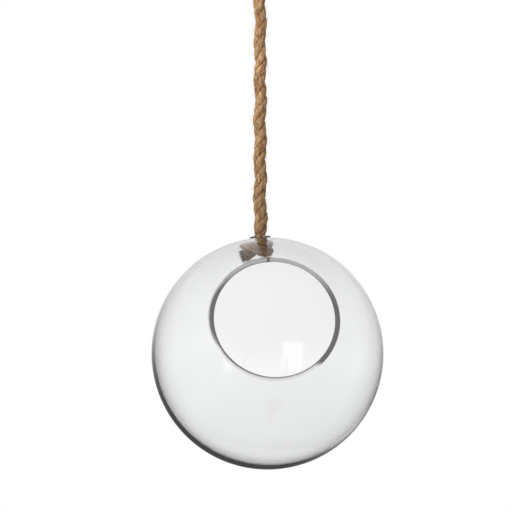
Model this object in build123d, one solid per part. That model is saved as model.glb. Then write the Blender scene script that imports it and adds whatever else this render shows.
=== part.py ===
"""Clear glass globe vase hung on a thick jute rope, in millimetres, +Z up.

The origin is the point where the rope's eye bears on its hook, and the rope hangs down the Z axis.
The mouth of the globe faces -Y and looks a little upwards.
"""
import os
from math import cos, radians, sin, sqrt, tan

from build123d import *

# Driving dimensions, in millimetres and degrees

# the blown globe
globe_diameter = 200.0
wall = 2.7                          # mean wall of the blown glass
thin_side = (0.45, -0.53, 0.70)     # how far the hollow sits towards the thin side of the glass
globe_offset = (5.5, -11.8)         # the globe's centre, seen from the rope's line, where it hangs in balance
mouth_diameter = 109.0              # outer edge of the ground rim
mouth_tilt = 22.4                   # how far the mouth looks up
rim_edge = 0.5                      # eased edges of the ground rim
hole_play = 3.7                     # room all round the drawn rope in its hole
collar_wall = 1.7
collar_height = 1.3
collar_edge = 0.4

# the rope
rope_diameter = 12.0
drawn_diameter = 7.6                # the rope pulled tight in its knot
rope_run = 209.0                    # from the rope's bend under the splice to the globe's hole
rope_shoulder = 4.0                 # where the rope draws in above its knot
tail_length = 3.4
tail_diameter = 9.0                 # the rope opens again at its cut end
bend_play = 0.3                     # round the rope's upper end, where it bends

# the eye's splice
splice_length = 66.0
splice_width = 19.0
splice_tip = 15.2
splice_waist = 26.0                 # where the two legs have become one neck
splice_cover = 1.2                  # how far the tucked strands stand out round the legs
splice_lip = 1.5                    # how far the splice ends above the rope's bend

# Routes. The eye's points are x and z in millimetres.
# The knot's points are x, y and z in diameters of the drawn rope, from the inside of the glass on the rope's line.
eye_route = [
    (6.4, -68.0), (6.4, -57.0), (20.7, -5.0), (0.0, 9.6), (-20.7, -5.0), (-6.4, -57.0), (-6.4, -68.0),
]
knot_route = [
    (0.00, 0.00, 1.32), (0.00, 0.00, 0.61), (-0.38, -0.36, -0.29), (-0.29, -0.36, -1.09),
    (0.21, -0.78, -1.62), (0.25, -1.63, -1.78), (-0.22, -2.36, -1.59), (-1.13, -2.49, -1.22),
    (-1.83, -1.82, -1.00), (-1.74, -0.79, -0.89), (-1.34, 0.16, -0.89), (-0.68, 0.74, -0.86),
    (0.20, 0.68, -0.74), (0.79, -0.03, -0.58), (0.64, -0.97, -0.51), (-0.07, -1.49, -0.62),
    (-0.70, -1.39, -1.01), (-0.88, -1.33, -1.66), (-1.40, -1.66, -2.08),
]
arc_share = 0.45                    # how much of a run each corner's arc takes
gap_step = 0.5                      # how finely a tube's gap to itself is measured

# Sizes worked out from the driving dimensions
globe_radius = globe_diameter / 2
cavity_radius = globe_radius - wall
mouth_radius = mouth_diameter / 2
mouth_plane = sqrt(globe_radius**2 - mouth_radius**2)
rope_radius = rope_diameter / 2
drawn_radius = drawn_diameter / 2
hole_radius = drawn_radius + hole_play
collar_radius = hole_radius + collar_wall

splice_top = eye_route[0][1]
splice_foot = splice_top - splice_length
bend_z = splice_foot - splice_lip
hole_z = bend_z - rope_run
hole_point = Vector(0, 0, hole_z)
globe_centre = Vector(*globe_offset, hole_z - sqrt(globe_radius**2 - globe_offset[0]**2 - globe_offset[1]**2))
cavity_centre = globe_centre + Vector(*thin_side)
seat_z = cavity_centre.Z + sqrt(cavity_radius**2 - cavity_centre.X**2 - cavity_centre.Y**2)
foot_z = seat_z + knot_route[0][2] * drawn_diameter

mouth_axis = Vector(0, -cos(radians(mouth_tilt)), sin(radians(mouth_tilt)))
hole_axis = (hole_point - globe_centre).normalized()
from_below = (Align.CENTER, Align.CENTER, Align.MIN)


def corner_radii(points):
    """The largest arc that each corner's two runs leave room for."""
    radii = []
    for before, corner, after in zip(points, points[1:], points[2:]):
        back, ahead = before - corner, after - corner
        half_turn = radians(180 - back.get_angle(ahead)) / 2
        radii.append(arc_share * min(back.length, ahead.length) / tan(half_turn))
    return radii


def least_gap(route, diameter):
    """The least room between stretches of a tube that are over two diameters apart along it."""
    steps = int(route.length / gap_step)
    apart = int(2 * diameter / gap_step)
    points = [route @ (i / steps) for i in range(steps + 1)]
    return min((a - b).length for i, a in enumerate(points) for b in points[i + apart:]) - diameter


def rope_along(name, points, diameter):
    """A round tube on straight runs and tangent arcs, with its facts printed."""
    radii = corner_radii(points)
    route = FilletPolyline(*points, radius=radii)
    section = Plane(origin=route @ 0, z_dir=route % 0) * Circle(diameter / 2)
    tube = sweep(section, path=route)
    print(f"{name}: length {route.length:.1f}, radii {[round(r, 1) for r in radii]},")
    print(f"  volume {tube.volume:.0f} against section times length {section.area * route.length:.0f},")
    print(f"  least gap to itself {least_gap(route, diameter):.2f}")
    return tube


def knot_point(point):
    """A point of the knot's route, in millimetres."""
    return Vector(0, 0, seat_z) + Vector(*point) * drawn_diameter


def flat_edges(body, axis, distance):
    """The edges of the flat face that is square to an axis, at a distance from the globe's centre."""
    flat = body.faces().filter_by(GeomType.PLANE)
    height = globe_centre.dot(axis) + distance
    return flat.filter_by(lambda face: abs(face.center().dot(axis) - height) < rim_edge / 10).edges()


def glass_globe():
    """The blown globe: an off-centre hollow, a flat ground mouth and a ground collar round the rope hole."""
    body = Plane(origin=globe_centre, z_dir=mouth_axis) * Sphere(globe_radius)
    collar_root = wall / 2
    collar = Cylinder(collar_radius, collar_root + collar_height, align=from_below)
    body += Plane(origin=hole_point - hole_axis * collar_root, z_dir=hole_axis) * collar
    body -= Plane(origin=cavity_centre, z_dir=mouth_axis) * Sphere(cavity_radius)
    mouth_centre = globe_centre + mouth_axis * mouth_plane
    cut_away = Cylinder(globe_radius, globe_radius, align=from_below)
    body -= Plane(origin=mouth_centre, z_dir=mouth_axis) * cut_away
    body -= Plane(origin=hole_point, z_dir=hole_axis) * Cylinder(hole_radius, 2 * collar_radius)
    body = chamfer(flat_edges(body, mouth_axis, mouth_plane), rim_edge)
    return chamfer(flat_edges(body, hole_axis, globe_radius + collar_height), collar_edge)


def hanging_rope():
    """The taut run, domed at its top where it bends, drawn in at its foot where it enters the knot."""
    shoulder_z = foot_z + rope_shoulder
    side = Polyline((0, foot_z), (drawn_radius, foot_z), (rope_radius, shoulder_z), (rope_radius, bend_z))
    dome = CenterArc((0, bend_z), rope_radius, 0, 90)
    middle = Line((0, bend_z + rope_radius), (0, foot_z))
    return revolve(Plane.XZ * make_face([side, dome, middle]), Axis.Z)


def stopper_knot():
    """The overhand knot under the hole, drawn tight and squashed flat against the glass."""
    return rope_along("stopper_knot", [knot_point(p) for p in knot_route], drawn_diameter)


def rope_tail():
    """The cut end, which opens as it leaves the knot."""
    bend, start = knot_point(knot_route[-2]), knot_point(knot_route[-1])
    return Plane(origin=start, z_dir=start - bend) * Cone(
        drawn_radius, tail_diameter / 2, tail_length, align=from_below
    )


def rope_eye():
    """The loop that goes over a hook."""
    return rope_along("rope_eye", [Vector(x, 0, z) for x, z in eye_route], rope_diameter)


def eye_splice():
    """The neck where the rope's end is tucked back into it, from the eye's two legs down to one rope."""
    half_width = eye_route[0][0] + rope_radius + splice_cover
    neck = loft([
        Pos(0, 0, splice_top) * Ellipse(half_width, rope_radius + splice_cover),
        Pos(0, 0, splice_top - splice_waist) * Circle(splice_width / 2),
        Pos(0, 0, splice_foot) * Circle(splice_tip / 2),
    ], ruled=True)
    return neck - Pos(0, 0, bend_z) * Sphere(rope_radius + bend_play)


def main():
    os.makedirs("parts", exist_ok=True)
    for make in (glass_globe, hanging_rope, stopper_knot, rope_tail, rope_eye, eye_splice):
        solid = make()
        export_step(solid, f"parts/{make.__name__}.step")
        middle = [round(x, 2) for x in solid.center(CenterOf.MASS)]
        print(f"{make.__name__}: volume {solid.volume:.0f}, middle {middle}")
    print(f"bend {bend_z:.2f}, hole {hole_z:.2f}, seat {seat_z:.2f}, foot {foot_z:.2f}")
    print(f"globe centre {[round(x, 2) for x in globe_centre]}")


main()
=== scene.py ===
"""Looks of a clear glass globe vase on a thick jute rope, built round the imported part.

Everything is in metres, +Z up. The origin is the point where the rope's eye bears on its hook.
"""
import math
from contextlib import contextmanager

import bpy
import numpy as np
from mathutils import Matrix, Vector


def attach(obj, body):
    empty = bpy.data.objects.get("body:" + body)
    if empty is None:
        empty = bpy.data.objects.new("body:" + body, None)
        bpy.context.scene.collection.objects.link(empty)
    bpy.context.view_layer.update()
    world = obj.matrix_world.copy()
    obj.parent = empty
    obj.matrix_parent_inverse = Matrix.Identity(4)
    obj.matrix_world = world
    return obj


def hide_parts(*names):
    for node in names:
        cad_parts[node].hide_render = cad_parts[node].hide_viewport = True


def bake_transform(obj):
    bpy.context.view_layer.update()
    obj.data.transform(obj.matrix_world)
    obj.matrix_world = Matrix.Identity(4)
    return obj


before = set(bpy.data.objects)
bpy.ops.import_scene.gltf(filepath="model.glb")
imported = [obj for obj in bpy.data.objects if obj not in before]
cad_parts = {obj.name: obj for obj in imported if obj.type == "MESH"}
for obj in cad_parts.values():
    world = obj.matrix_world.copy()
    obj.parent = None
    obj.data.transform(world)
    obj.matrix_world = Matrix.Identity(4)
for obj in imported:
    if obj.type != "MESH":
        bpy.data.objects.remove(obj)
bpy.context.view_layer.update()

bl_info = {
    "name": "Hanging glass globe vase",
    "version": (1, 0, 0),
    "blender": (4, 5, 0),
    "location": "View3D > Sidebar > Globe vase",
    "description": "Builds the glass, the rope and the studio of a hanging globe vase",
    "category": "Object",
}

# Places from the part's source

GLOBE_CENTRE = Vector((0.0055, -0.0118, -0.44365))
CAVITY_CENTRE = GLOBE_CENTRE + Vector((0.00045, -0.00053, 0.00070))
CAVITY_RADIUS = 0.0973
HOLE = Vector((0.0, 0.0, -0.3445))
SEAT_Z = -0.34662                # the inside of the glass on the rope's line
FOOT_Z = -0.33658                # where the rope goes over into its knot
SPLICE_TOP_Z = -0.068
SPLICE_FOOT_Z = -0.134
BEND_Z = -0.1355                 # a height just under the splice

EYE_ROUTE = [
    (0.0064, 0.0, -0.068), (0.0064, 0.0, -0.057), (0.0207, 0.0, -0.005), (0.0, 0.0, 0.0096),
    (-0.0207, 0.0, -0.005), (-0.0064, 0.0, -0.057), (-0.0064, 0.0, -0.068),
]
# in diameters of the drawn rope, from the inside of the glass on the rope's line
KNOT_ROUTE = [
    (0.00, 0.00, 1.32), (0.00, 0.00, 0.61), (-0.42, -0.34, -0.20), (-0.56, -0.42, -0.92),
    (0.26, -0.72, -1.30), (1.00, -1.40, -1.22), (0.66, -2.14, -1.26), (-0.36, -2.52, -1.28),
    (-1.38, -2.46, -0.86), (-1.98, -1.72, -0.58), (-1.88, -0.72, -0.60), (-1.38, 0.12, -0.62),
    (-0.64, 0.66, -0.64), (0.26, 0.60, -0.60), (0.94, -0.04, -0.52), (0.86, -0.86, -0.36),
    (0.04, -1.36, -0.36), (-0.66, -1.42, -0.78), (-0.94, -1.46, -1.36), (-1.50, -1.68, -1.68),
    (-2.12, -1.86, -1.82),
]

# Three strands pressed together: a strand's radius and how far out it sits, as shares of the rope's radius
STRANDS = 3
STRAND_SHARE = 0.74
HELIX_SHARE = 0.26
STRAND_KEY = 1.7                 # sets the fibres of one strand apart from the next one's
STEP = 0.0008                    # from ring to ring along a strand

# The rope's thickness on its way down, and its turn
SWELL = 0.05                     # the share by which it thickens on its first stretch
SWELL_RUN = 0.14                 # the length of that stretch
FOOT_SWELL = 0.07                # the share by which it thickens again just above the globe
NECK_RADIUS = 0.0045             # in the hole
KNOT_RADIUS = 0.0040
TAIL_RADIUS = 0.0046
KNOT_PLAY = 0.0003               # between the glass and the knot that is pressed against it
RIGHT_Z = -0.32695               # where the first strand faces right
TWIST_TOP_Z = -0.212             # where the rope's upper piece ends and its lower piece starts
DARKEN_TOP_Z = -0.14               # from here down the jute is painted darker and darker
DARKEN_END_Z = -0.64               # where a rope that long would be painted fully darker

# The glass
RIM_REACH = 0.03                 # how far behind the mouth the rim's own shape reaches
LOW_SIDE = (0.766, 0.0, -0.643)  # the way to the thin lower right of the wall
AT_HOLE = 0.03                   # points this near to the hole belong to its opening
ON_PLANE = 1e-5                  # points this near to the mouth's plane lie in it


# Settings that a user would change

def length(name, text, default):
    """A length in metres."""
    return bpy.props.FloatProperty(name=name, description=text, default=default, unit="LENGTH", precision=4)


def angle(name, text, degrees):
    """An angle, given in degrees."""
    turn = math.radians(degrees)
    return bpy.props.FloatProperty(name=name, description=text, default=turn, subtype="ANGLE")


def colour(name, text, default):
    """A linear colour."""
    return bpy.props.FloatVectorProperty(
        name=name, description=text, default=default, subtype="COLOR", size=3, min=0, max=1
    )


class GlobeSettings(bpy.types.PropertyGroup):
    """Sizes and finish of the blown globe."""

    radius: length("Radius", "Outer radius of the globe", 0.1)
    wall: length("Wall", "Mean wall of the glass", 0.0027)
    thin: length("Thin sides", "How much thinner the wall is at its left and right", 0.0007)
    low_thin: length("Thin low side", "How much thinner the wall is at its lower right", 0.0008)
    thick: length("Thick rim", "How much thicker the wall is at the rim's left and right", 0.0012)
    mouth: length("Mouth radius", "Outer radius of the ground rim", 0.0545)
    rim: length("Rim width", "Width of the flat ground rim", 0.0040)
    tilt: angle("Mouth tilt", "How far the mouth looks up", 22.4)
    edge: length("Rim edge", "Rounding of the rim's two edges", 0.0005)
    hole: length("Hole radius", "Radius of the rope hole", 0.0075)
    collar: length("Collar radius", "Outer radius of the collar round the hole", 0.0092)
    collar_height: length("Collar height", "How far the collar stands up", 0.0013)
    tint: colour("Tint", "Colour of the glass", (0.985, 0.995, 0.99))
    # painted shade: the dark grey laid on the rim's sides and along its inner edge
    ground: colour("Rim shade", "The rim's sides and its inner edge", (0.12, 0.12, 0.12))


class RopeSettings(bpy.types.PropertyGroup):
    """Sizes and colours of the jute rope."""

    diameter: length("Diameter", "Diameter of the rope", 0.012)
    drawn: length("Drawn diameter", "Diameter of the rope in its knot", 0.0076)
    sway: length("Sway", "How far the rope winds off its own line", 0.0007)
    lay: length("Lay", "Length of one turn of the strands", 0.03385)
    yarns: bpy.props.IntProperty(name="Yarns", description="Yarns in a strand", default=8, min=3)
    light: colour("Light jute", "The pale fibres", (0.77, 0.49, 0.275))
    dark: colour("Dark jute", "The brown fibres", (0.25, 0.135, 0.062))
    red: colour("Red jute", "Patches of redder fibres", (0.46, 0.20, 0.09))
    olive: colour("Olive jute", "Patches of greener fibres", (0.48, 0.33, 0.15))
    # painted shade between the strands and between the yarns
    groove: colour("Grooves", "Between the strands", (0.13, 0.06, 0.025))
    # painted shade on the knot, and the rope darker towards the bottom
    worn: colour("Darker jute and knot shade", "Painted shade of the knot, and darker towards the bottom", (0.055, 0.038, 0.026))


class StageSettings(bpy.types.PropertyGroup):
    """The studio."""

    distance: length("Camera distance", "From the rope's line", 1.8)
    lens: bpy.props.FloatProperty(name="Lens", description="Focal length in millimetres", default=145.8)
    azimuth: angle("Azimuth", "The camera's side", -3.73)
    aside: length("Aside", "How far the view's middle lies left of the rope", 0.00363)
    rise: length("Rise", "Height of the camera over the globe's middle", 0.0838)
    floor: colour("Floor", "Colour of the floor", (0.8, 0.8, 0.79))


# Shader maths

def maths(operation, swapped=False):
    """A method that adds one Math node, with its two terms in order or swapped."""

    def method(self, other):
        return self.math(operation, *((other, self) if swapped else (self, other)))

    return method


class Value:
    """One value in a node tree. Arithmetic on it adds Math nodes."""

    def __init__(self, tree, socket):
        self.tree = tree
        self.socket = socket

    def math(self, operation, *terms):
        node = self.tree.nodes.new("ShaderNodeMath")
        node.operation = operation
        for socket, term in zip(node.inputs, terms or (self,)):
            feed(self.tree, socket, term)
        return Value(self.tree, node.outputs[0])

    __add__ = maths("ADD")
    __radd__ = maths("ADD", swapped=True)
    __sub__ = maths("SUBTRACT")
    __rsub__ = maths("SUBTRACT", swapped=True)
    __mul__ = maths("MULTIPLY")
    __rmul__ = maths("MULTIPLY", swapped=True)
    __pow__ = maths("POWER")
    __gt__ = maths("GREATER_THAN")
    __lt__ = maths("LESS_THAN")
    most = maths("MAXIMUM")


def feed(tree, socket, value):
    """Links a value to a socket, or sets the socket to a number, colour or vector."""
    if isinstance(value, Value):
        tree.links.new(value.socket, socket)
    else:
        socket.default_value = value


class Nodes:
    """The nodes of one material or world."""

    def __init__(self, owner):
        owner.use_nodes = True
        self.tree = owner.node_tree
        self.tree.nodes.clear()

    def add(self, kind, settings=None, sockets=None, out=0):
        """A node with its settings made first, then its sockets set or linked. Gives one of its outputs."""
        node = self.tree.nodes.new(kind)
        for name, value in (settings or {}).items():
            if name == "stops":
                set_stops(node.color_ramp, value)
            else:
                setattr(node, name, value)
        for name, value in (sockets or {}).items():
            feed(self.tree, node.inputs[name], value)
        return Value(self.tree, node.outputs[out]) if node.outputs else None

    def vector(self, operation, *terms, out="Value"):
        """What a Vector Math node makes of its terms."""
        return self.add("ShaderNodeVectorMath", {"operation": operation}, dict(enumerate(terms)), out)

    def noise(self, place, scale, detail):
        """Noise at a place."""
        sockets = {"Vector": place, "Scale": scale, "Detail": detail}
        return self.add("ShaderNodeTexNoise", None, sockets, "Fac")

    def between(self, value, low, high, ends=(0.0, 1.0), kind="LINEAR"):
        """A value on its way from low to high, carried over to two other ends."""
        sockets = {"Value": value, "From Min": low, "From Max": high, "To Min": ends[0], "To Max": ends[1]}
        return self.add("ShaderNodeMapRange", {"interpolation_type": kind}, sockets)

    def step(self, value, low, high, ends=(0.0, 1.0)):
        """The same, with a soft start and end."""
        return self.between(value, low, high, ends, "SMOOTHSTEP")

    def layer(self, name, out="Fac"):
        """What the mesh has in one of its layers."""
        return self.add("ShaderNodeAttribute", {"attribute_name": name}, out=out)

    def ray(self, fact):
        """A fact about the ray that is being traced."""
        return self.add("ShaderNodeLightPath", out=fact)

    def mix_colours(self, share, first, second):
        """A mix of two colours."""
        sockets = {"Factor": share, 6: first, 7: second}
        return self.add("ShaderNodeMix", {"data_type": "RGBA"}, sockets, out=2)

    def bump(self, height, strength, distance):
        """A normal from a height."""
        sockets = {"Strength": strength, "Distance": distance, "Height": height}
        return self.add("ShaderNodeBump", None, sockets)

    def principled(self, tone, roughness, more=None):
        """A Principled surface."""
        sockets = {"Base Color": tone, "Roughness": roughness, **(more or {})}
        return self.add("ShaderNodeBsdfPrincipled", None, sockets)

    def glass(self, tint, roughness, ior=1.5, more=None):
        """A Principled surface that lets light through."""
        sockets = {"IOR": ior, "Transmission Weight": 1.0, **(more or {})}
        return self.principled((*tint, 1.0), roughness, sockets)

    def mix(self, share, first, second):
        """A mix of two shaders."""
        return self.add("ShaderNodeMixShader", None, {0: share, 1: first, 2: second})

    def show(self, shader):
        """Makes a shader the material's surface."""
        self.add("ShaderNodeOutputMaterial", None, {"Surface": shader})


def set_stops(ramp, stops):
    """Sets a colour ramp's places and greys."""
    while len(ramp.elements) < len(stops):
        ramp.elements.new(1.0)
    for element, (place, tone) in zip(ramp.elements, stops):
        element.position = place
        element.color = (tone, tone, tone, 1.0)


def new_material(name):
    """A new material and its empty tree."""
    material = bpy.data.materials.new(name)
    return material, Nodes(material)


def glass_material(look):
    """Glass with faint waves, which lets the lamps' light through to the rope."""
    material, nodes = new_material("blown_glass")
    place = nodes.add("ShaderNodeTexCoord", out="Object")
    waves = nodes.bump(nodes.noise(place, 14.0, 1.0), 0.002, 0.004)
    glass = nodes.glass(look.tint, 0.0, more={"Normal": waves})
    # light that the wall has mirrored more than twice goes straight on, with a loss
    trapped = nodes.ray("Glossy Depth") > 2.5
    clear = nodes.add("ShaderNodeBsdfTransparent", None, {"Color": 0.965 - trapped * 0.2})
    nodes.show(nodes.mix(nodes.ray("Is Shadow Ray").most(trapped), glass, clear))
    return material


def ground_rim_shade_material(look, plane, axis):
    """The ground rim: painted shade in grey at its two sides and along its inner edge, and nearly clear
    elsewhere.
    """
    material, nodes = new_material("ground_rim_painted_shade")
    place = nodes.add("ShaderNodeTexCoord", out="Object")
    side = Vector((1.0, 0.0, 0.0))
    up = side.cross(-axis)

    def reach(way):
        return (nodes.vector("DOT_PRODUCT", place, way) - plane.dot(way)) * (1 / look.mouth)

    def aside(lean):
        return reach(side * math.cos(math.radians(lean)) - up * math.sin(math.radians(lean)))

    height = reach(up)
    width = nodes.vector("DISTANCE", place, plane) - (look.mouth - look.rim)
    # painted shade: masks for the rim's right and left sides, its lower inner side and its inner edge, which
    # is weaker at the top
    right = nodes.step(aside(14), 0.35, 0.85) * nodes.step(height, -0.8, -0.68)
    right = right * nodes.step(width, 0.0048, 0.0038)
    left = nodes.step(aside(8) + (width - 0.002) * 60.0, -0.7, -0.95) * nodes.step(width, 0.0048, 0.0022)
    low = nodes.step(height, -0.2, -0.6)
    under = low * nodes.step(width, 0.0048, 0.0008) * 0.3
    edge = nodes.step(width - low * 0.0001, 0.0014, 0.0009) * (0.95 - 0.35 * nodes.step(height, -0.2, 0.6))
    grain = 0.3 * (nodes.noise(place, 900.0, 2.0) - 0.4).most(0.0)
    tone = nodes.mix_colours(grain, (*look.ground, 1.0), (0.6, 0.6, 0.6, 1.0))
    # the grey surface of the painted shade
    matt = nodes.principled(tone, 0.4, {"IOR": 1.5})
    nodes.show(nodes.mix(right.most(left).most(edge).most(under), nodes.glass(look.tint, 0.03), matt))
    return material


def collar_material(look):
    """The collar's thin glass: clear where it faces the eye, and a near-black surface of painted shade where
    it is seen along its wall.
    """
    material, nodes = new_material("collar_glass")
    turned = nodes.add("ShaderNodeLayerWeight", None, {"Blend": 0.5}, out="Facing")
    # painted shade: a near-black surface in place of the glass where it is seen edge-on
    dark = nodes.principled((0.02, 0.02, 0.02, 1.0), 0.3)
    nodes.show(nodes.mix(nodes.between(turned, 0.06, 0.2), nodes.glass(look.tint, 0.05, 1.2), dark))
    return material


def jute_material():
    """Jute: pale, brown and red fibres that run along the yarns, with painted shade between the strands,
    painted shade on the knot, and darker towards the bottom. Made once.
    """
    look = bpy.context.scene.vase_rope
    if "rope_jute" in bpy.data.materials:
        return bpy.data.materials["rope_jute"]
    material, nodes = new_material("rope_jute")
    place = nodes.layer("place", "Vector")
    groove = nodes.layer("groove")
    worn = nodes.layer("worn")

    def fibres(across, along, detail):
        stretched = nodes.vector("MULTIPLY", place, (across, across, along), out="Vector")
        return nodes.noise(stretched, 1.0, detail)

    fine = fibres(2600.0, 160.0, 3.0)
    coarse = fibres(900.0, 90.0, 2.0)
    patches = fibres(230.0, 110.0, 1.0)
    shades = fibres(260.0, 120.0, 1.0)
    spots = fibres(420.0, 260.0, 1.0)
    streaks = fine * 0.3 + coarse * 0.45 + patches * 0.35
    # painted shade on the knot, and the rope darker towards the bottom
    darkening_share = worn * (0.5 + 0.5 * nodes.between(streaks, 0.64, 0.47))
    # painted shade in the grooves, in patches
    depth = groove * nodes.between(spots + patches * 0.3, 0.52, 0.76) * 0.5
    flecks = nodes.between(spots, 0.57, 0.72) * 0.5
    jute = nodes.mix_colours(nodes.between(streaks, 0.45, 0.65), (*look.dark, 1.0), (*look.light, 1.0))
    for share, tone in (
        (nodes.between(shades, 0.48, 0.3), look.olive), (nodes.between(shades, 0.52, 0.72), look.red),
        (darkening_share, look.worn), (depth.most(flecks), look.groove),
    ):
        jute = nodes.mix_colours(share, jute, (*tone, 1.0))
    nodes.show(nodes.principled(jute, 0.9, {
        "Specular IOR Level": 0.12, "Sheen Weight": 0.03, "Sheen Roughness": 0.5,
        "Normal": nodes.bump(fine * 0.7 + coarse * 0.7, 0.7, 0.0006),
    }))
    return material


# Rope

def route_line(points):
    """The points of a smooth NURBS line that has these control points."""
    curve = bpy.data.curves.new("route", "CURVE")
    curve.dimensions = "3D"
    spline = curve.splines.new("NURBS")
    spline.points.add(len(points) - 1)
    for place, point in zip(spline.points, points):
        place.co = (*point, 1.0)
    spline.order_u = 3
    spline.use_endpoint_u = True
    spline.resolution_u = 40
    holder = bpy.data.objects.new("route", curve)
    mesh = bpy.data.meshes.new_from_object(holder)
    line = np.array([v.co for v in mesh.vertices], float)
    bpy.data.meshes.remove(mesh)
    bpy.data.objects.remove(holder)
    bpy.data.curves.remove(curve)
    return line


def evenly(line, step):
    """The line again with its points that far apart, and how far along it each one is."""
    along = np.concatenate([[0.0], np.cumsum(np.linalg.norm(np.diff(line, axis=0), axis=1))])
    at = np.linspace(0.0, along[-1], int(round(along[-1] / step)) + 1)
    return np.stack([np.interp(at, along, line[:, k]) for k in range(3)], axis=1), at


def unit(vectors):
    """The vectors at length 1."""
    return vectors / np.linalg.norm(vectors, axis=-1, keepdims=True)


def sides_of(line, first):
    """Two directions across a line at each of its points, carried along it without turning."""
    ahead = unit(np.gradient(line, axis=0))
    side = np.array(first, float)
    across = np.empty_like(line)
    for i, direction in enumerate(ahead):
        side = unit(side - direction * (side @ direction))
        across[i] = side
    return across, np.cross(ahead, across)


def ease(low, high, values):
    """0 at low, 1 at high, and a smooth step between them."""
    t = np.clip((np.asarray(values) - low) / (high - low), 0.0, 1.0)
    return t * t * (3 - 2 * t)


class RopeMesh:
    """Points, faces and surface values of a rope piece, strand by strand and fibre by fibre."""

    ROUND = 48                      # points round a strand
    UNTWIST = -250.0                # how fast the yarns turn back about their strand, in radians per metre
    HAIR = (0.00004, 0.00008)       # least and most radius of a loose fibre
    CUT_HAIR = (0.00008, 0.00016)   # and of a fibre at the cut end

    def __init__(self, yarns, seed):
        self.points = []
        self.faces = []
        self.place = []
        self.groove = []
        self.count = 0
        self.ball = None
        self.yarns = yarns
        self.random = np.random.default_rng(seed)
        self.turn = np.linspace(0, 2 * math.pi, self.ROUND, endpoint=False)

    def add(self, points, faces, place, groove):
        """Adds a closed shape, pressed into the ball if there is one."""
        if self.ball:
            middle, radius = self.ball
            off = points - middle
            points = middle + off * np.minimum(1, radius / np.linalg.norm(off, axis=1, keepdims=True))
        self.faces += [tuple(int(i) + self.count for i in face) for face in faces]
        self.points.append(points)
        self.place.append(place)
        self.groove.append(groove)
        self.count += len(points)

    def rough(self, rings):
        """Uneven thickness that runs along a strand, about 0 on average."""
        noise = self.random.normal(size=(rings, self.ROUND))
        for axis, wide in ((0, 9), (1, 3)):
            blur = np.ones(wide) / wide
            around = np.concatenate([noise, noise, noise], axis=1)
            around = np.apply_along_axis(lambda row: np.convolve(row, blur, mode="same"), axis, around)
            noise = around[:, self.ROUND:2 * self.ROUND]
        return noise * 3

    def skin(self, radius, along, key):
        """A strand's radius all round, how high its yarns stand, and each point's place on its fibres."""
        twist = along[:, None] * self.UNTWIST + key
        yarn = np.abs(np.cos((self.turn - twist) * self.yarns / 2)) ** 0.6
        swell = 0.94 + 0.04 * np.sin(along * 299 + key * 5) + 0.03 * np.sin(along * 134 + key * 2)
        reach = radius[:, None] * (swell[:, None] + 0.06 * yarn + 0.022 * self.rough(len(along)))
        place = np.stack([
            radius[:, None] * np.cos(self.turn - twist), radius[:, None] * np.sin(self.turn - twist),
            np.broadcast_to(along[:, None] + key, yarn.shape),
        ], axis=-1)
        return reach, yarn, place

    def tube(self, points, place, groove):
        """Adds a closed tube from its rings of points."""
        rings = len(points)
        grid = np.arange(rings * self.ROUND).reshape(rings, self.ROUND)
        step = np.roll(grid, -1, axis=1)
        faces = np.stack([grid[:-1], step[:-1], step[1:], grid[1:]], axis=-1).reshape(-1, 4).tolist()
        faces += [grid[0][::-1].tolist(), grid[-1].tolist()]
        self.add(points.reshape(-1, 3), faces, place.reshape(-1, 3), groove.reshape(-1))

    def laid_strand(self, line, out, side, radius, along, key):
        """One of three strands laid together, pressed flat where it meets the other two."""
        reach, yarn, place = self.skin(radius * STRAND_SHARE, along, key)
        core = 0.04 * radius[:, None]
        outward = np.maximum(radius[:, None] * HELIX_SHARE + reach * np.cos(self.turn), core)
        room = outward * math.tan(math.pi / STRANDS)
        sideways = np.clip(reach * np.sin(self.turn), -room, room)
        points = line[:, None] + outward[:, :, None] * out[:, None] + sideways[:, :, None] * side[:, None]
        off = np.abs(np.arctan2(sideways, outward))
        # painted shade: higher where the strand presses on the next one and between its yarns
        groove = np.clip(ease(0.5, 1.03, off) + 0.4 * (1 - yarn) ** 2, 0, 1)
        self.tube(points, place, groove)

    def free_strand(self, line, outward, radius, along, key, shade):
        """One round strand on its own."""
        ahead = unit(np.gradient(line, axis=0))
        out = unit(outward - ahead * (outward * ahead).sum(1, keepdims=True))
        side = np.cross(ahead, out)
        reach, yarn, place = self.skin(radius, along, key)
        spoke = np.cos(self.turn)[:, None] * out[:, None] + np.sin(self.turn)[:, None] * side[:, None]
        points = line[:, None] + reach[:, :, None] * spoke
        back = np.minimum(self.turn, 2 * math.pi - self.turn)
        # painted shade: higher on the strand's back, between its yarns and by the shade it is given
        groove = np.clip(ease(0.9, 1.9, back) + 0.4 * (1 - yarn) ** 2 + shade[:, None], 0, 1)
        self.tube(points, place, groove)

    def fibres(self, axis, line, outward, radius, count, longest, limit):
        """Loose fibres that stand off a strand, no further from the rope's line than the limit."""
        ahead = unit(np.gradient(line, axis=0))
        draw = self.random
        for _ in range(count):
            i = draw.integers(2, len(line) - 2)
            turn = draw.normal(0, 0.7)
            aside = np.cross(ahead[i], outward[i])
            off = unit(outward[i] * math.cos(turn) + aside * math.sin(turn))
            run = ahead[i] * draw.choice([-1, 1]) + aside * draw.normal(0, 0.35)
            long = longest * draw.uniform(0.3, 1.0)
            bend = draw.normal(0, 0.35, 3)
            start = line[i] + off * radius[i] * 0.85
            t = np.linspace(0, 1, 5)[:, None]
            points = start + long * (t * unit(run + off * draw.uniform(0.1, 0.7)) + t * t * bend)
            near = axis[max(0, i - 24):i + 25]
            nearest = np.argmin(np.linalg.norm(points[:, None] - near, axis=2), axis=1)
            away = points - near[nearest]
            far = np.linalg.norm(away, axis=1, keepdims=True)
            points -= away * np.maximum(0, 1 - limit / np.maximum(far, 1e-9))
            self.hair(points, draw.uniform(*self.HAIR))

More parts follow.
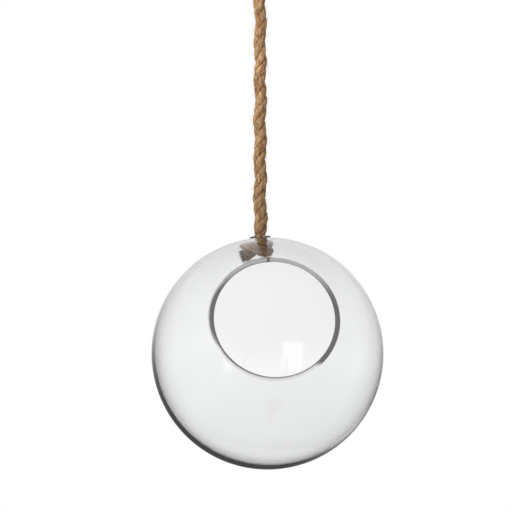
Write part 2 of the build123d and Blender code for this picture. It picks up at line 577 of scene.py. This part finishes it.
    def tuft(self, end, ahead, radius, count, longest):
        """Cut fibres that splay out of the rope's end."""
        across, aside = sides_of(np.array([end, end + ahead]), (0.2, 0.5, 0.8))
        draw = self.random
        for _ in range(count):
            turn = draw.uniform(0, 2 * math.pi)
            off = math.cos(turn) * across[0] + math.sin(turn) * aside[0]
            start = end + off * radius * math.sqrt(draw.uniform(0, 0.9)) - ahead * 0.001
            long = longest * draw.uniform(0.4, 1.0)
            t = np.linspace(0, 1, 5)[:, None]
            splay = off * draw.uniform(-0.1, 0.5) + draw.normal(0, 0.2, 3)
            self.hair(start + long * (t * ahead + t * t * splay), draw.uniform(*self.CUT_HAIR))

    def hair(self, line, radius):
        """One fibre: three-sided, thick at its root and closed at its tip."""
        across, aside = sides_of(line, (0.31, 0.73, 0.61))
        points = []
        for i, centre in enumerate(line[:-1]):
            thick = radius * (1 - 0.6 * i / len(line))
            for k in range(3):
                turn = 2 * math.pi * k / 3
                points.append(centre + thick * (math.cos(turn) * across[i] + math.sin(turn) * aside[i]))
        points.append(line[-1])
        faces = [(2, 1, 0)]
        last = len(line) - 2
        for i in range(last):
            for k in range(3):
                a, b = 3 * i + k, 3 * i + (k + 1) % 3
                faces.append((a, b, b + 3, a + 3))
        faces += [(3 * last + k, 3 * last + (k + 1) % 3, 3 * last + 3) for k in range(3)]
        points = np.array(points)
        tone = self.random.uniform(0.0, 0.35)
        self.add(points, faces, points + self.random.uniform(0, 1), np.full(len(points), tone))

    def build(self, name, knot_shade_under=-1.0):
        """The finished object, at the origin, with its place in its mesh. It is darker further down, and has
        painted shade under a height.
        """
        mesh = bpy.data.meshes.new(name)
        points = np.concatenate(self.points)
        mesh.from_pydata(points.tolist(), [], self.faces)
        height = points[:, 2]
        # darker towards the bottom, and painted shade on the knot under the given height
        darkening_and_knot_shade = ease(DARKEN_TOP_Z, DARKEN_END_Z, height)
        darkening_and_knot_shade = np.maximum(darkening_and_knot_shade, ease(knot_shade_under, knot_shade_under - 0.005, height))
        for layer, kind, field, values in (
            ("place", "FLOAT_VECTOR", "vector", np.concatenate(self.place)),
            ("groove", "FLOAT", "value", np.concatenate(self.groove)),
            ("worn", "FLOAT", "value", darkening_and_knot_shade),
        ):
            data = mesh.attributes.new(layer, kind, "POINT").data
            data.foreach_set(field, values.astype(np.float32).ravel())
        mesh.materials.append(jute_material())
        mesh.polygons.foreach_set("use_smooth", np.ones(len(mesh.polygons), bool))
        mesh.update()
        piece = bpy.data.objects.new(name, mesh)
        bpy.context.scene.collection.objects.link(piece)
        return piece


class Laid:
    """A three-strand rope along a line: its radius and its turn at each point of the line."""

    def __init__(self, line, along, first, radius, phase, sway):
        self.middle = line
        self.along = along
        self.across, self.aside = sides_of(line, first)
        self.radius = radius
        self.phase = phase
        self.line = line + self.facing(0)[0] * sway[:, None]

    def facing(self, k):
        """The ways out of the rope and round it at one strand."""
        turn = self.phase[:, None] + 2 * math.pi * k / STRANDS
        out = np.cos(turn) * self.across + np.sin(turn) * self.aside
        return out, np.cos(turn) * self.aside - np.sin(turn) * self.across

    def add_to(self, rope, first, last):
        """Adds the stretch between two of the line's points to a mesh."""
        cut = slice(first, last)
        for k in range(STRANDS):
            out, side = (way[cut] for way in self.facing(k))
            rope.laid_strand(self.line[cut], out, side, self.radius[cut], self.along[cut], STRAND_KEY * k)

    def add_fibres(self, rope, first, last, count, longest, limit):
        """Adds loose fibres to the stretch between two of the line's points."""
        cut = slice(first, last)
        line, radius = self.line[cut], self.radius[cut]
        for k in range(STRANDS):
            out = self.facing(k)[0][cut]
            crest = line + out * (radius * HELIX_SHARE)[:, None]
            rope.fibres(line, crest, out, radius * STRAND_SHARE, count, longest, limit)


def standing_rope(look):
    """The rope from the splice down through the hole and round the knot."""
    knot = [(x * look.drawn, y * look.drawn, z * look.drawn + SEAT_Z) for x, y, z in KNOT_ROUTE]
    line, along = evenly(route_line([(0.0, 0.0, SPLICE_FOOT_Z)] + knot), STEP)
    hole_at = SPLICE_FOOT_Z - HOLE.z
    full = look.diameter / 2 - look.sway
    foot = FOOT_SWELL * ease(hole_at - 0.055, hole_at - 0.02, along)
    radius = full * (1 + SWELL * ease(0.0, SWELL_RUN, along) + foot)
    for drawn, start, end in (
        (NECK_RADIUS, hole_at - 0.008, hole_at - 0.001), (look.drawn / 2, hole_at, hole_at + 0.006),
        (KNOT_RADIUS, hole_at + 0.006, hole_at + 0.016), (TAIL_RADIUS, along[-1] - 0.010, along[-1] - 0.002),
    ):
        radius += (drawn - radius) * ease(start, end, along)
    turns = np.cumsum(np.maximum(1, full / radius)) * along[1] / look.lay
    phase = 2 * math.pi * (turns - (SPLICE_FOOT_Z - RIGHT_Z) / look.lay)
    sway = look.sway * ease(hole_at, hole_at - 0.015, along)
    return Laid(line, along, (1.0, 0.0, 0.0), radius, phase, sway)


def eye_rope(look, end_turn):
    """The eye, with its strands at a given turn about +Z where it comes back to the splice."""
    line, along = evenly(route_line(EYE_ROUTE), STEP)
    from_end = np.minimum(along, along[-1] - along)
    radius = (look.diameter / 2 - look.sway) * (0.78 + 0.22 * ease(0.0, 0.0035, from_end))
    phase = math.pi / 2 - end_turn - 2 * math.pi * (along[-1] - along) / look.lay
    sway = 0.7 * look.sway * ease(0.0, 0.01, from_end)
    return Laid(line, along, (0.0, 1.0, 0.0), radius, phase, sway)


def at_height(rope, z):
    """The number of the first point of a hanging rope at or under a height."""
    return int(np.argmax(rope.middle[:, 2] <= z))


class VASE_OT_rope(bpy.types.Operator):
    """The taut rope from its splice down to its knot, in two pieces"""

    bl_idname = "vase.rope"
    bl_label = "Hanging rope"

    def execute(self, context):
        look = context.scene.vase_rope
        laid = standing_rope(look)
        middle = at_height(laid, TWIST_TOP_Z)
        foot = at_height(laid, FOOT_Z)
        for name, first, last, bodies, start, end, seed in (
            ("rope_top", 0, middle + 1, ("eye", "rope"), BEND_Z, BEND_Z - 0.045, 11),
            ("rope_low", middle, foot + 1, ("rope", "knot"), TWIST_TOP_Z - 0.002, FOOT_Z + 0.001, 12),
        ):
            mesh = RopeMesh(look.yarns, seed)
            laid.add_to(mesh, first, last)
            laid.add_fibres(mesh, first, last, count=120, longest=0.010, limit=look.diameter * 0.72)
            piece = mesh.build(name)
            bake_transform(piece)
            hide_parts("hanging_rope")
        return {"FINISHED"}


class VASE_OT_knot(bpy.types.Operator):
    """The stopper knot inside the globe, with its frayed tail"""

    bl_idname = "vase.knot"
    bl_label = "Stopper knot"

    def execute(self, context):
        look = context.scene.vase_rope
        laid = standing_rope(look)
        foot = at_height(laid, FOOT_Z)
        mesh = RopeMesh(look.yarns, 13)
        inside = at_height(laid, SEAT_Z - 0.003)
        laid.add_to(mesh, foot, inside + 1)
        mesh.ball = (np.array(CAVITY_CENTRE), CAVITY_RADIUS - KNOT_PLAY)
        laid.add_to(mesh, inside, None)
        laid.add_fibres(mesh, inside, None, count=300, longest=0.006, limit=look.drawn * 0.8)
        end = laid.line[-1]
        mesh.tuft(end, unit(end - laid.line[-4]), laid.radius[-1], count=260, longest=0.0035)
        piece = mesh.build("knot", HOLE.z + 0.003)
        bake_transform(piece)
        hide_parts("stopper_knot", "rope_tail")
        return {"FINISHED"}


class VASE_OT_eye(bpy.types.Operator):
    """The eye that goes over the hook, and the splice that closes it"""

    bl_idname = "vase.eye"
    bl_label = "Rope eye and splice"

    def execute(self, context):
        look = context.scene.vase_rope
        foot_turn = -float(standing_rope(look).phase[0])
        laid = eye_rope(look, foot_turn)
        mesh = RopeMesh(look.yarns, 14)
        laid.add_to(mesh, 0, None)
        laid.add_fibres(mesh, 0, None, count=110, longest=0.010, limit=look.diameter * 0.72)
        piece = mesh.build("eye")
        back_turn = float(laid.phase[0]) + math.pi / 2
        splice = self.splice(look, foot_turn, back_turn)
        for part, node in ((piece, "rope_eye"), (splice, "eye_splice")):
            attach(part, "eye")
            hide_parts(node)
        return {"FINISHED"}

    def splice(self, look, foot_turn, back_turn):
        """Three standing strands and the rope's end tucked over and under them, against their lay."""
        mesh = RopeMesh(look.yarns, 15)
        lap = 0.003                 # how far its strands run on into the rope and the eye
        depth = 0.0021              # how far they weave in and out
        neck_at = 0.0051            # how far out they lie in the neck
        strand = 0.00255            # a strand's radius
        tip = 0.0007                # and that of the tucked strands where they end
        z = np.arange(SPLICE_FOOT_Z - lap, SPLICE_TOP_Z + lap, STEP)
        turned = 2 * math.pi * (z - SPLICE_FOOT_Z) / (SPLICE_TOP_Z - SPLICE_FOOT_Z)
        legs = ease(SPLICE_TOP_Z - 0.021, SPLICE_TOP_Z - 0.004, z)
        neck = ease(SPLICE_FOOT_Z + 0.002, SPLICE_FOOT_Z + 0.017, z)
        full = look.diameter / 2 - look.sway
        weave = np.cos(3 * turned + 1.5 * (foot_turn - back_turn)) * depth * neck * (1 - legs)
        rope_at = 0.44 * full
        for k in range(STRANDS):
            for start, way, leg in ((foot_turn, 1, -1), (back_turn, -1, 1)):
                turn = start + way * turned + 2 * math.pi * k / STRANDS
                out = np.stack([np.cos(turn), np.sin(turn), np.zeros_like(z)], axis=1)
                home = rope_at if way > 0 else full * 0.86
                off = home + (neck_at - home) * neck - way * weave
                off += (rope_at - off) * legs
                line = out * off[:, None] + np.stack([leg * EYE_ROUTE[0][0] * legs, 0 * z, z], axis=1)
                thick = strand + 0 * z if way > 0 else tip + (strand - tip) * neck
                # painted shade where a tucked strand weaves in under the others
                shade = 0.35 * ease(0.0005, depth, way * weave)
                key = STRAND_KEY * k + (0.9 if way < 0 else 0)
                mesh.free_strand(line, out, thick, z * way, key, shade)
                mesh.fibres(line, line, out, thick, count=25, longest=0.009, limit=0.005)
        return mesh.build("splice")


# Glass

def pick(*items):
    """Selects these objects only, and makes the last one active."""
    for item in bpy.context.selected_objects:
        item.select_set(False)
    for item in items:
        item.select_set(True)
    bpy.context.view_layer.objects.active = items[-1]


@contextmanager
def editing():
    """Edit mode for a few steps."""
    bpy.ops.object.mode_set(mode="EDIT")
    yield
    bpy.ops.object.mode_set(mode="OBJECT")


def sphere(name, radius, centre, axis):
    """A ball whose pole lies on an axis, with its place in its mesh."""
    turn = axis.to_track_quat("Z", "Y").to_euler()
    bpy.ops.mesh.primitive_uv_sphere_add(
        segments=160, ring_count=96, radius=radius, location=centre, rotation=turn
    )
    ball = bpy.context.object
    ball.name = name
    bpy.ops.object.transform_apply()
    return ball


class VASE_OT_globe(bpy.types.Operator):
    """The blown glass globe with its ground mouth and its collared rope hole"""

    bl_idname = "vase.globe"
    bl_label = "Glass globe"

    def execute(self, context):
        look = context.scene.vase_globe
        axis = Vector((0.0, -math.cos(look.tilt), math.sin(look.tilt)))
        plane = GLOBE_CENTRE + axis * math.sqrt(look.radius**2 - look.mouth**2)
        upward = (HOLE - GLOBE_CENTRE).normalized()
        shell = self.walls(look, axis, plane)
        self.open_hole(shell, look, upward)
        self.finish_rim(shell, look, axis, plane)
        for material in (glass_material(look), ground_rim_shade_material(look, plane, axis), collar_material(look)):
            shell.data.materials.append(material)
        for face in shell.data.polygons:
            face.material_index = self.material_of(face, look, axis, plane, upward)
        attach(shell, "globe")
        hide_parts("glass_globe")
        return {"FINISHED"}

    def material_of(self, face, look, axis, plane, upward):
        """A face's material: 0 for blown glass, 1 for the ground rim, 2 for the collar's wall."""
        centre = face.center
        off = centre - HOLE
        high = off.dot(upward)
        wide = (off - upward * high).length
        if -0.0002 < high < look.collar_height - 0.0001 and abs(wide - look.collar) < 0.0002:
            return 2
        return int(abs((centre - plane).dot(axis)) < 0.0006 and face.normal.dot(axis) > 0.2)

    def walls(self, look, axis, plane):
        """The outer and the inner wall, joined by the flat rim."""
        outer = sphere("glass", look.radius, GLOBE_CENTRE, axis)
        inner = sphere("inner", look.radius - look.wall, CAVITY_CENTRE, axis)
        for wall in (outer, inner):
            pick(wall)
            with editing():
                bpy.ops.mesh.select_all(action="SELECT")
                bpy.ops.mesh.bisect(plane_co=plane, plane_no=axis, clear_outer=True)
                if wall == inner:
                    bpy.ops.mesh.select_all(action="SELECT")
                    bpy.ops.mesh.flip_normals()
        self.shape_hollow(inner, look, np.array(axis), np.array(plane))
        pick(inner, outer)
        bpy.ops.object.join()
        self.bridge(outer, lambda point: abs((point - plane).dot(axis)) < ON_PLANE)
        return outer

    def shape_hollow(self, inner, look, axis, plane):
        """Sets the rim's width, and behind it makes the wall thinner at its left, right and lower right."""
        flat = np.empty(3 * len(inner.data.vertices))
        inner.data.vertices.foreach_get("co", flat)
        points = flat.reshape(-1, 3)
        centre = np.array(CAVITY_CENTRE)
        away = points - centre
        across = away - (away @ axis)[:, None] * axis
        deep = (plane - centre) @ axis
        hollow = look.radius - look.wall
        rim = math.sqrt(hollow**2 - deep**2)
        aside = (plane - centre - deep * axis) * (0, 1, 1)
        near = ease(RIM_REACH, 0.0, (plane - points) @ axis)
        points += near[:, None] * (across * ((look.mouth - look.rim) / rim - 1) + aside)
        points[:, 0] += (look.thin - near * (look.thin + look.thick)) * across[:, 0] / hollow
        low = np.maximum(0, unit(away) @ LOW_SIDE) ** 4
        points += ((1 - near) * low * look.low_thin)[:, None] * unit(away)
        inner.data.vertices.foreach_set("co", flat)

    def bridge(self, shell, wanted):
        """Joins the two open loops among the edges whose ends are all wanted."""
        for number, faces in self.faces_by_edge(shell).items():
            edge = shell.data.edges[number]
            edge.select = len(faces) == 1 and all(wanted(shell.data.vertices[i].co) for i in edge.vertices)
        with editing():
            bpy.ops.mesh.bridge_edge_loops()

    def faces_by_edge(self, shell):
        """The faces of each edge, by the edge's number, with nothing left selected."""
        self.select_none()
        edges = {}
        for face in shell.data.polygons:
            for key in face.loop_indices:
                edges.setdefault(shell.data.loops[key].edge_index, []).append(face)
        return edges

    def select_none(self):
        with editing():
            bpy.ops.mesh.select_mode(type="EDGE")
            bpy.ops.mesh.select_all(action="DESELECT")

    def open_hole(self, shell, look, upward):
        """Opens both walls round the rope's line and sets the collar in the opening."""
        opening = look.collar + 0.005
        self.select_none()
        for face in shell.data.polygons:
            off = face.center - HOLE
            face.select = off.dot(upward) > -0.006 and (off - upward * off.dot(upward)).length < opening
        with editing():
            bpy.ops.mesh.select_mode(type="FACE")
            bpy.ops.mesh.delete(type="FACE")
        pick(self.collar(look, upward), shell)
        bpy.ops.object.join()
        middle = HOLE - upward * look.wall / 2

        def at_hole(point):
            return (point - HOLE).length < AT_HOLE

        def outside(point):
            return at_hole(point) and (point - middle).dot(upward) > -0.0006

        self.bridge(shell, outside)
        self.bridge(shell, at_hole)

    def collar(self, look, upward):
        """The collar's section turned round the hole, from the outer wall over its top to the inner wall."""
        wall, hole, top = look.collar, look.hole, look.collar_height
        # radius and height of each step, with None for the height of the outer wall
        steps = [
            (wall + 0.0022, None), (wall + 0.0005, None), (wall, 0.0001), (wall, top - 0.0004),
            (wall - 0.0001, top - 0.00015), (wall - 0.0004, top), (hole + 0.0004, top),
            (hole + 0.0001, top - 0.00015), (hole, top - 0.0004), (hole, -0.0014), (hole + 0.0002, -0.0019),
            (hole + 0.0006, -0.0023), (wall + 0.0012, -0.0026),
        ]
        turn = upward.to_track_quat("Z", "Y").to_euler()
        wide = steps[0][0]
        sunk = self.sunk(look, wide)
        bpy.ops.mesh.primitive_circle_add(
            vertices=72, radius=wide, location=HOLE + upward * sunk, rotation=turn, fill_type="NOTHING"
        )
        ring = bpy.context.object
        bpy.ops.object.transform_apply()
        with editing():
            bpy.ops.mesh.select_mode(type="EDGE")
            bpy.ops.mesh.select_all(action="SELECT")
            for radius, height in steps[1:]:
                height = self.sunk(look, radius) if height is None else height
                move = upward * (height - sunk)
                bpy.ops.mesh.extrude_edges_move(TRANSFORM_OT_translate={"value": move})
                grow = radius / wide
                bpy.ops.transform.resize(value=(grow, grow, grow), center_override=HOLE + upward * height)
                wide, sunk = radius, height
        return ring

    def sunk(self, look, radius):
        """The height of the outer wall that far from the hole's axis, seen from its top."""
        return math.sqrt(look.radius**2 - radius**2) - look.radius

    def finish_rim(self, shell, look, axis, plane):
        """Rounds the rim's two edges, turns all faces outwards and smooths them."""
        for number, faces in self.faces_by_edge(shell).items():
            flat = [
                abs(face.normal.dot(axis)) > 0.999 and abs((face.center - plane).dot(axis)) < ON_PLANE
                for face in faces
            ]
            shell.data.edges[number].select = any(flat) and not all(flat)
        with editing():
            bpy.ops.mesh.bevel(offset=look.edge, segments=3, affect="EDGES")
            bpy.ops.mesh.select_all(action="SELECT")
            bpy.ops.mesh.normals_make_consistent(inside=False)
        bpy.ops.object.shade_smooth_by_angle(angle=math.radians(35))


# Studio

def studio_world(ahead, right):
    """A white backdrop behind the glass, and a room bright above and dark below that its edges mirror."""
    world = bpy.data.worlds.new("studio")
    nodes = Nodes(world)
    bpy.context.scene.world = world
    way = nodes.add("ShaderNodeTexCoord", out="Generated")
    rise = nodes.add("ShaderNodeSeparateXYZ", None, {0: way}, out="Z")
    back = nodes.vector("DOT_PRODUCT", way, ahead)
    aside = nodes.vector("DOT_PRODUCT", way, right)
    seen = nodes.ray("Is Camera Ray")
    through = nodes.ray("Transmission Depth") > 0.5
    mirrored = nodes.ray("Glossy Depth")
    corner = aside.most(0.0) ** 2 * (-1.0 * rise - aside * 0.6).most(0.0)
    corner = corner * nodes.between(back, 0.75, 0.9) * 12.0
    wide = aside.math("ABSOLUTE")
    sides = aside * 0.04 - wide * 0.1 + (wide - 0.42).most(0.0) * 0.3
    level = rise * 0.5 + sides + 0.56 - through.most(back < 0.0) * 0.06 + corner
    room = nodes.add("ShaderNodeValToRGB", {"stops": [
        (0.0, 0.065), (0.37, 0.065), (0.45, 0.2), (0.5, 0.36), (0.515, 0.44), (0.545, 0.57), (0.59, 0.7),
        (0.65, 0.8), (0.75, 0.88), (0.9, 1.0), (1.0, 1.0),
    ]}, {0: level})
    behind = seen.most(through * (mirrored < 0.5)).most(nodes.between(back, 0.978, 0.99))
    uneven = nodes.between(aside - rise * 0.4, -0.04, 0.08, (0.985, 0.92))
    white = uneven + (1.0 - uneven) * seen
    paper = nodes.add("ShaderNodeCombineColor", None, {0: white, 1: white, 2: white})
    ceiling = nodes.between(rise, 0.5, 0.8, (0.0, 0.45))
    light = nodes.add("ShaderNodeBackground", None, {
        "Color": nodes.mix_colours(behind, room, paper),
        "Strength": 1.0 - nodes.ray("Is Diffuse Ray") * 0.5 - ceiling * (mirrored > 0.5),
    })
    nodes.add("ShaderNodeOutputWorld", None, {"Surface": light})


def facing(place, aim):
    """The turn of a lamp or a card that faces a point."""
    return (Vector(aim) - Vector(place)).to_track_quat("-Z", "Y").to_euler()


def softbox(name, place, aim, width, height, power):
    """A flat lamp that faces a point. Glass doesn't mirror it."""
    lamp = bpy.data.lights.new(name, "AREA")
    lamp.shape = "RECTANGLE"
    lamp.size = width
    lamp.size_y = height
    lamp.energy = power
    holder = bpy.data.objects.new(name, lamp)
    holder.location = place
    holder.rotation_euler = facing(place, aim)
    holder.visible_camera = False
    holder.visible_glossy = False
    holder.visible_transmission = False
    bpy.context.scene.collection.objects.link(holder)


def window(name, place, aim, width, height, strength):
    """A glowing card with soft edges that only glass mirrors."""
    bpy.ops.mesh.primitive_plane_add(size=1.0, location=place, rotation=facing(place, aim))
    card = bpy.context.object
    card.name = name
    card.scale = (width, height, 1.0)
    material, nodes = new_material(name)
    spot = nodes.add("ShaderNodeTexCoord", out="UV")
    share = 1.0
    for way in ("X", "Y"):
        off = (nodes.add("ShaderNodeSeparateXYZ", None, {0: spot}, out=way) - 0.5).math("ABSOLUTE")
        share = share * nodes.step(off, 0.25, 0.5, (1.0, 0.0))
    clear = nodes.add("ShaderNodeBsdfTransparent")
    nodes.show(nodes.mix(share, clear, nodes.add("ShaderNodeEmission", None, {"Strength": strength})))
    card.data.materials.append(material)
    card.visible_camera = False
    card.visible_diffuse = False
    card.visible_shadow = False


class VASE_OT_stage(bpy.types.Operator):
    """The white studio, its lamps and the camera"""

    bl_idname = "vase.stage"
    bl_label = "Studio"

    def execute(self, context):
        look = context.scene.vase_stage
        context.scene.view_settings.view_transform = "Standard"
        ahead = Vector((-math.sin(look.azimuth), math.cos(look.azimuth), 0.0))
        right = Vector((ahead.y, -ahead.x, 0.0))
        studio_world(ahead, right)
        self.floor(look)
        middle = GLOBE_CENTRE
        softbox("key", (-1.3, -1.0, 0.6), middle, width=1.0, height=1.2, power=19.0)
        softbox("overhead", (-0.3, -0.5, 0.25), (0.0, 0.0, -0.2), width=0.6, height=0.6, power=2.0)
        softbox("back", (-1.1, 1.2, 0.4), middle, width=1.0, height=1.0, power=6.0)
        left, small = middle + Vector((-0.84, -1.38, 0.16)), middle + Vector((1.059, -1.109, 0.442))
        window("window", left, middle, width=0.9, height=1.15, strength=1.7)
        window("small_window", small, middle, width=0.46, height=0.40, strength=1.8)
        self.camera(look, ahead, right)
        return {"FINISHED"}

    def floor(self, look):
        bpy.ops.mesh.primitive_circle_add(vertices=96, radius=3.0, fill_type="NGON", location=(0, 0, -1.0))
        ground = bpy.context.object
        ground.name = "floor"
        bpy.ops.object.transform_apply()
        material, nodes = new_material("pale_floor")
        out = nodes.vector("LENGTH", nodes.add("ShaderNodeTexCoord", out="Object"))
        far = nodes.step(out, 1.0, 2.8, (0.55, 1.0))
        seen = nodes.ray("Is Camera Ray").most(nodes.ray("Is Transmission Ray"))
        matt = nodes.add("ShaderNodeBsdfDiffuse", None, {"Color": (*look.floor, 1.0)})
        white = nodes.add("ShaderNodeEmission", None, {"Strength": 1.0})
        clear = nodes.add("ShaderNodeBsdfTransparent")
        nodes.show(nodes.mix(nodes.ray("Glossy Depth") > 0.5, nodes.mix(far * seen, matt, white), clear))
        ground.data.materials.append(material)
        ground.visible_glossy = False

    def camera(self, look, ahead, right):
        lens = bpy.data.cameras.new("camera")
        lens.lens = look.lens
        lens.sensor_width = 36.0
        lens.clip_end = 50.0
        camera = bpy.data.objects.new("camera", lens)
        height = Vector((0.0, 0.0, GLOBE_CENTRE.z + look.rise))
        camera.location = height - right * look.aside - ahead * look.distance
        camera.rotation_euler = ahead.to_track_quat("-Z", "Y").to_euler()
        bpy.context.scene.collection.objects.link(camera)
        bpy.context.scene.camera = camera


class VASE_PT_panel(bpy.types.Panel):
    """The vase's pieces"""

    bl_label = "Hanging globe vase"
    bl_idname = "VASE_PT_panel"
    bl_space_type = "VIEW_3D"
    bl_region_type = "UI"
    bl_category = "Globe vase"

    def draw(self, context):
        for kind in PIECES:
            self.layout.operator(kind.bl_idname)


PIECES = (VASE_OT_stage, VASE_OT_eye, VASE_OT_rope, VASE_OT_knot, VASE_OT_globe)
SETTINGS = (("vase_globe", GlobeSettings), ("vase_rope", RopeSettings), ("vase_stage", StageSettings))


def register():
    for name, group in SETTINGS:
        bpy.utils.register_class(group)
        setattr(bpy.types.Scene, name, bpy.props.PointerProperty(type=group))
    for kind in (*PIECES, VASE_PT_panel):
        bpy.utils.register_class(kind)


def unregister():
    for kind in (VASE_PT_panel, *reversed(PIECES)):
        bpy.utils.unregister_class(kind)
    for name, group in SETTINGS:
        delattr(bpy.types.Scene, name)
        bpy.utils.unregister_class(group)


def main():
    register()
    bpy.ops.vase.stage()
    bpy.ops.vase.eye()
    bpy.ops.vase.rope()
    bpy.ops.vase.knot()
    bpy.ops.vase.globe()


if __name__ == "__main__":
    main()
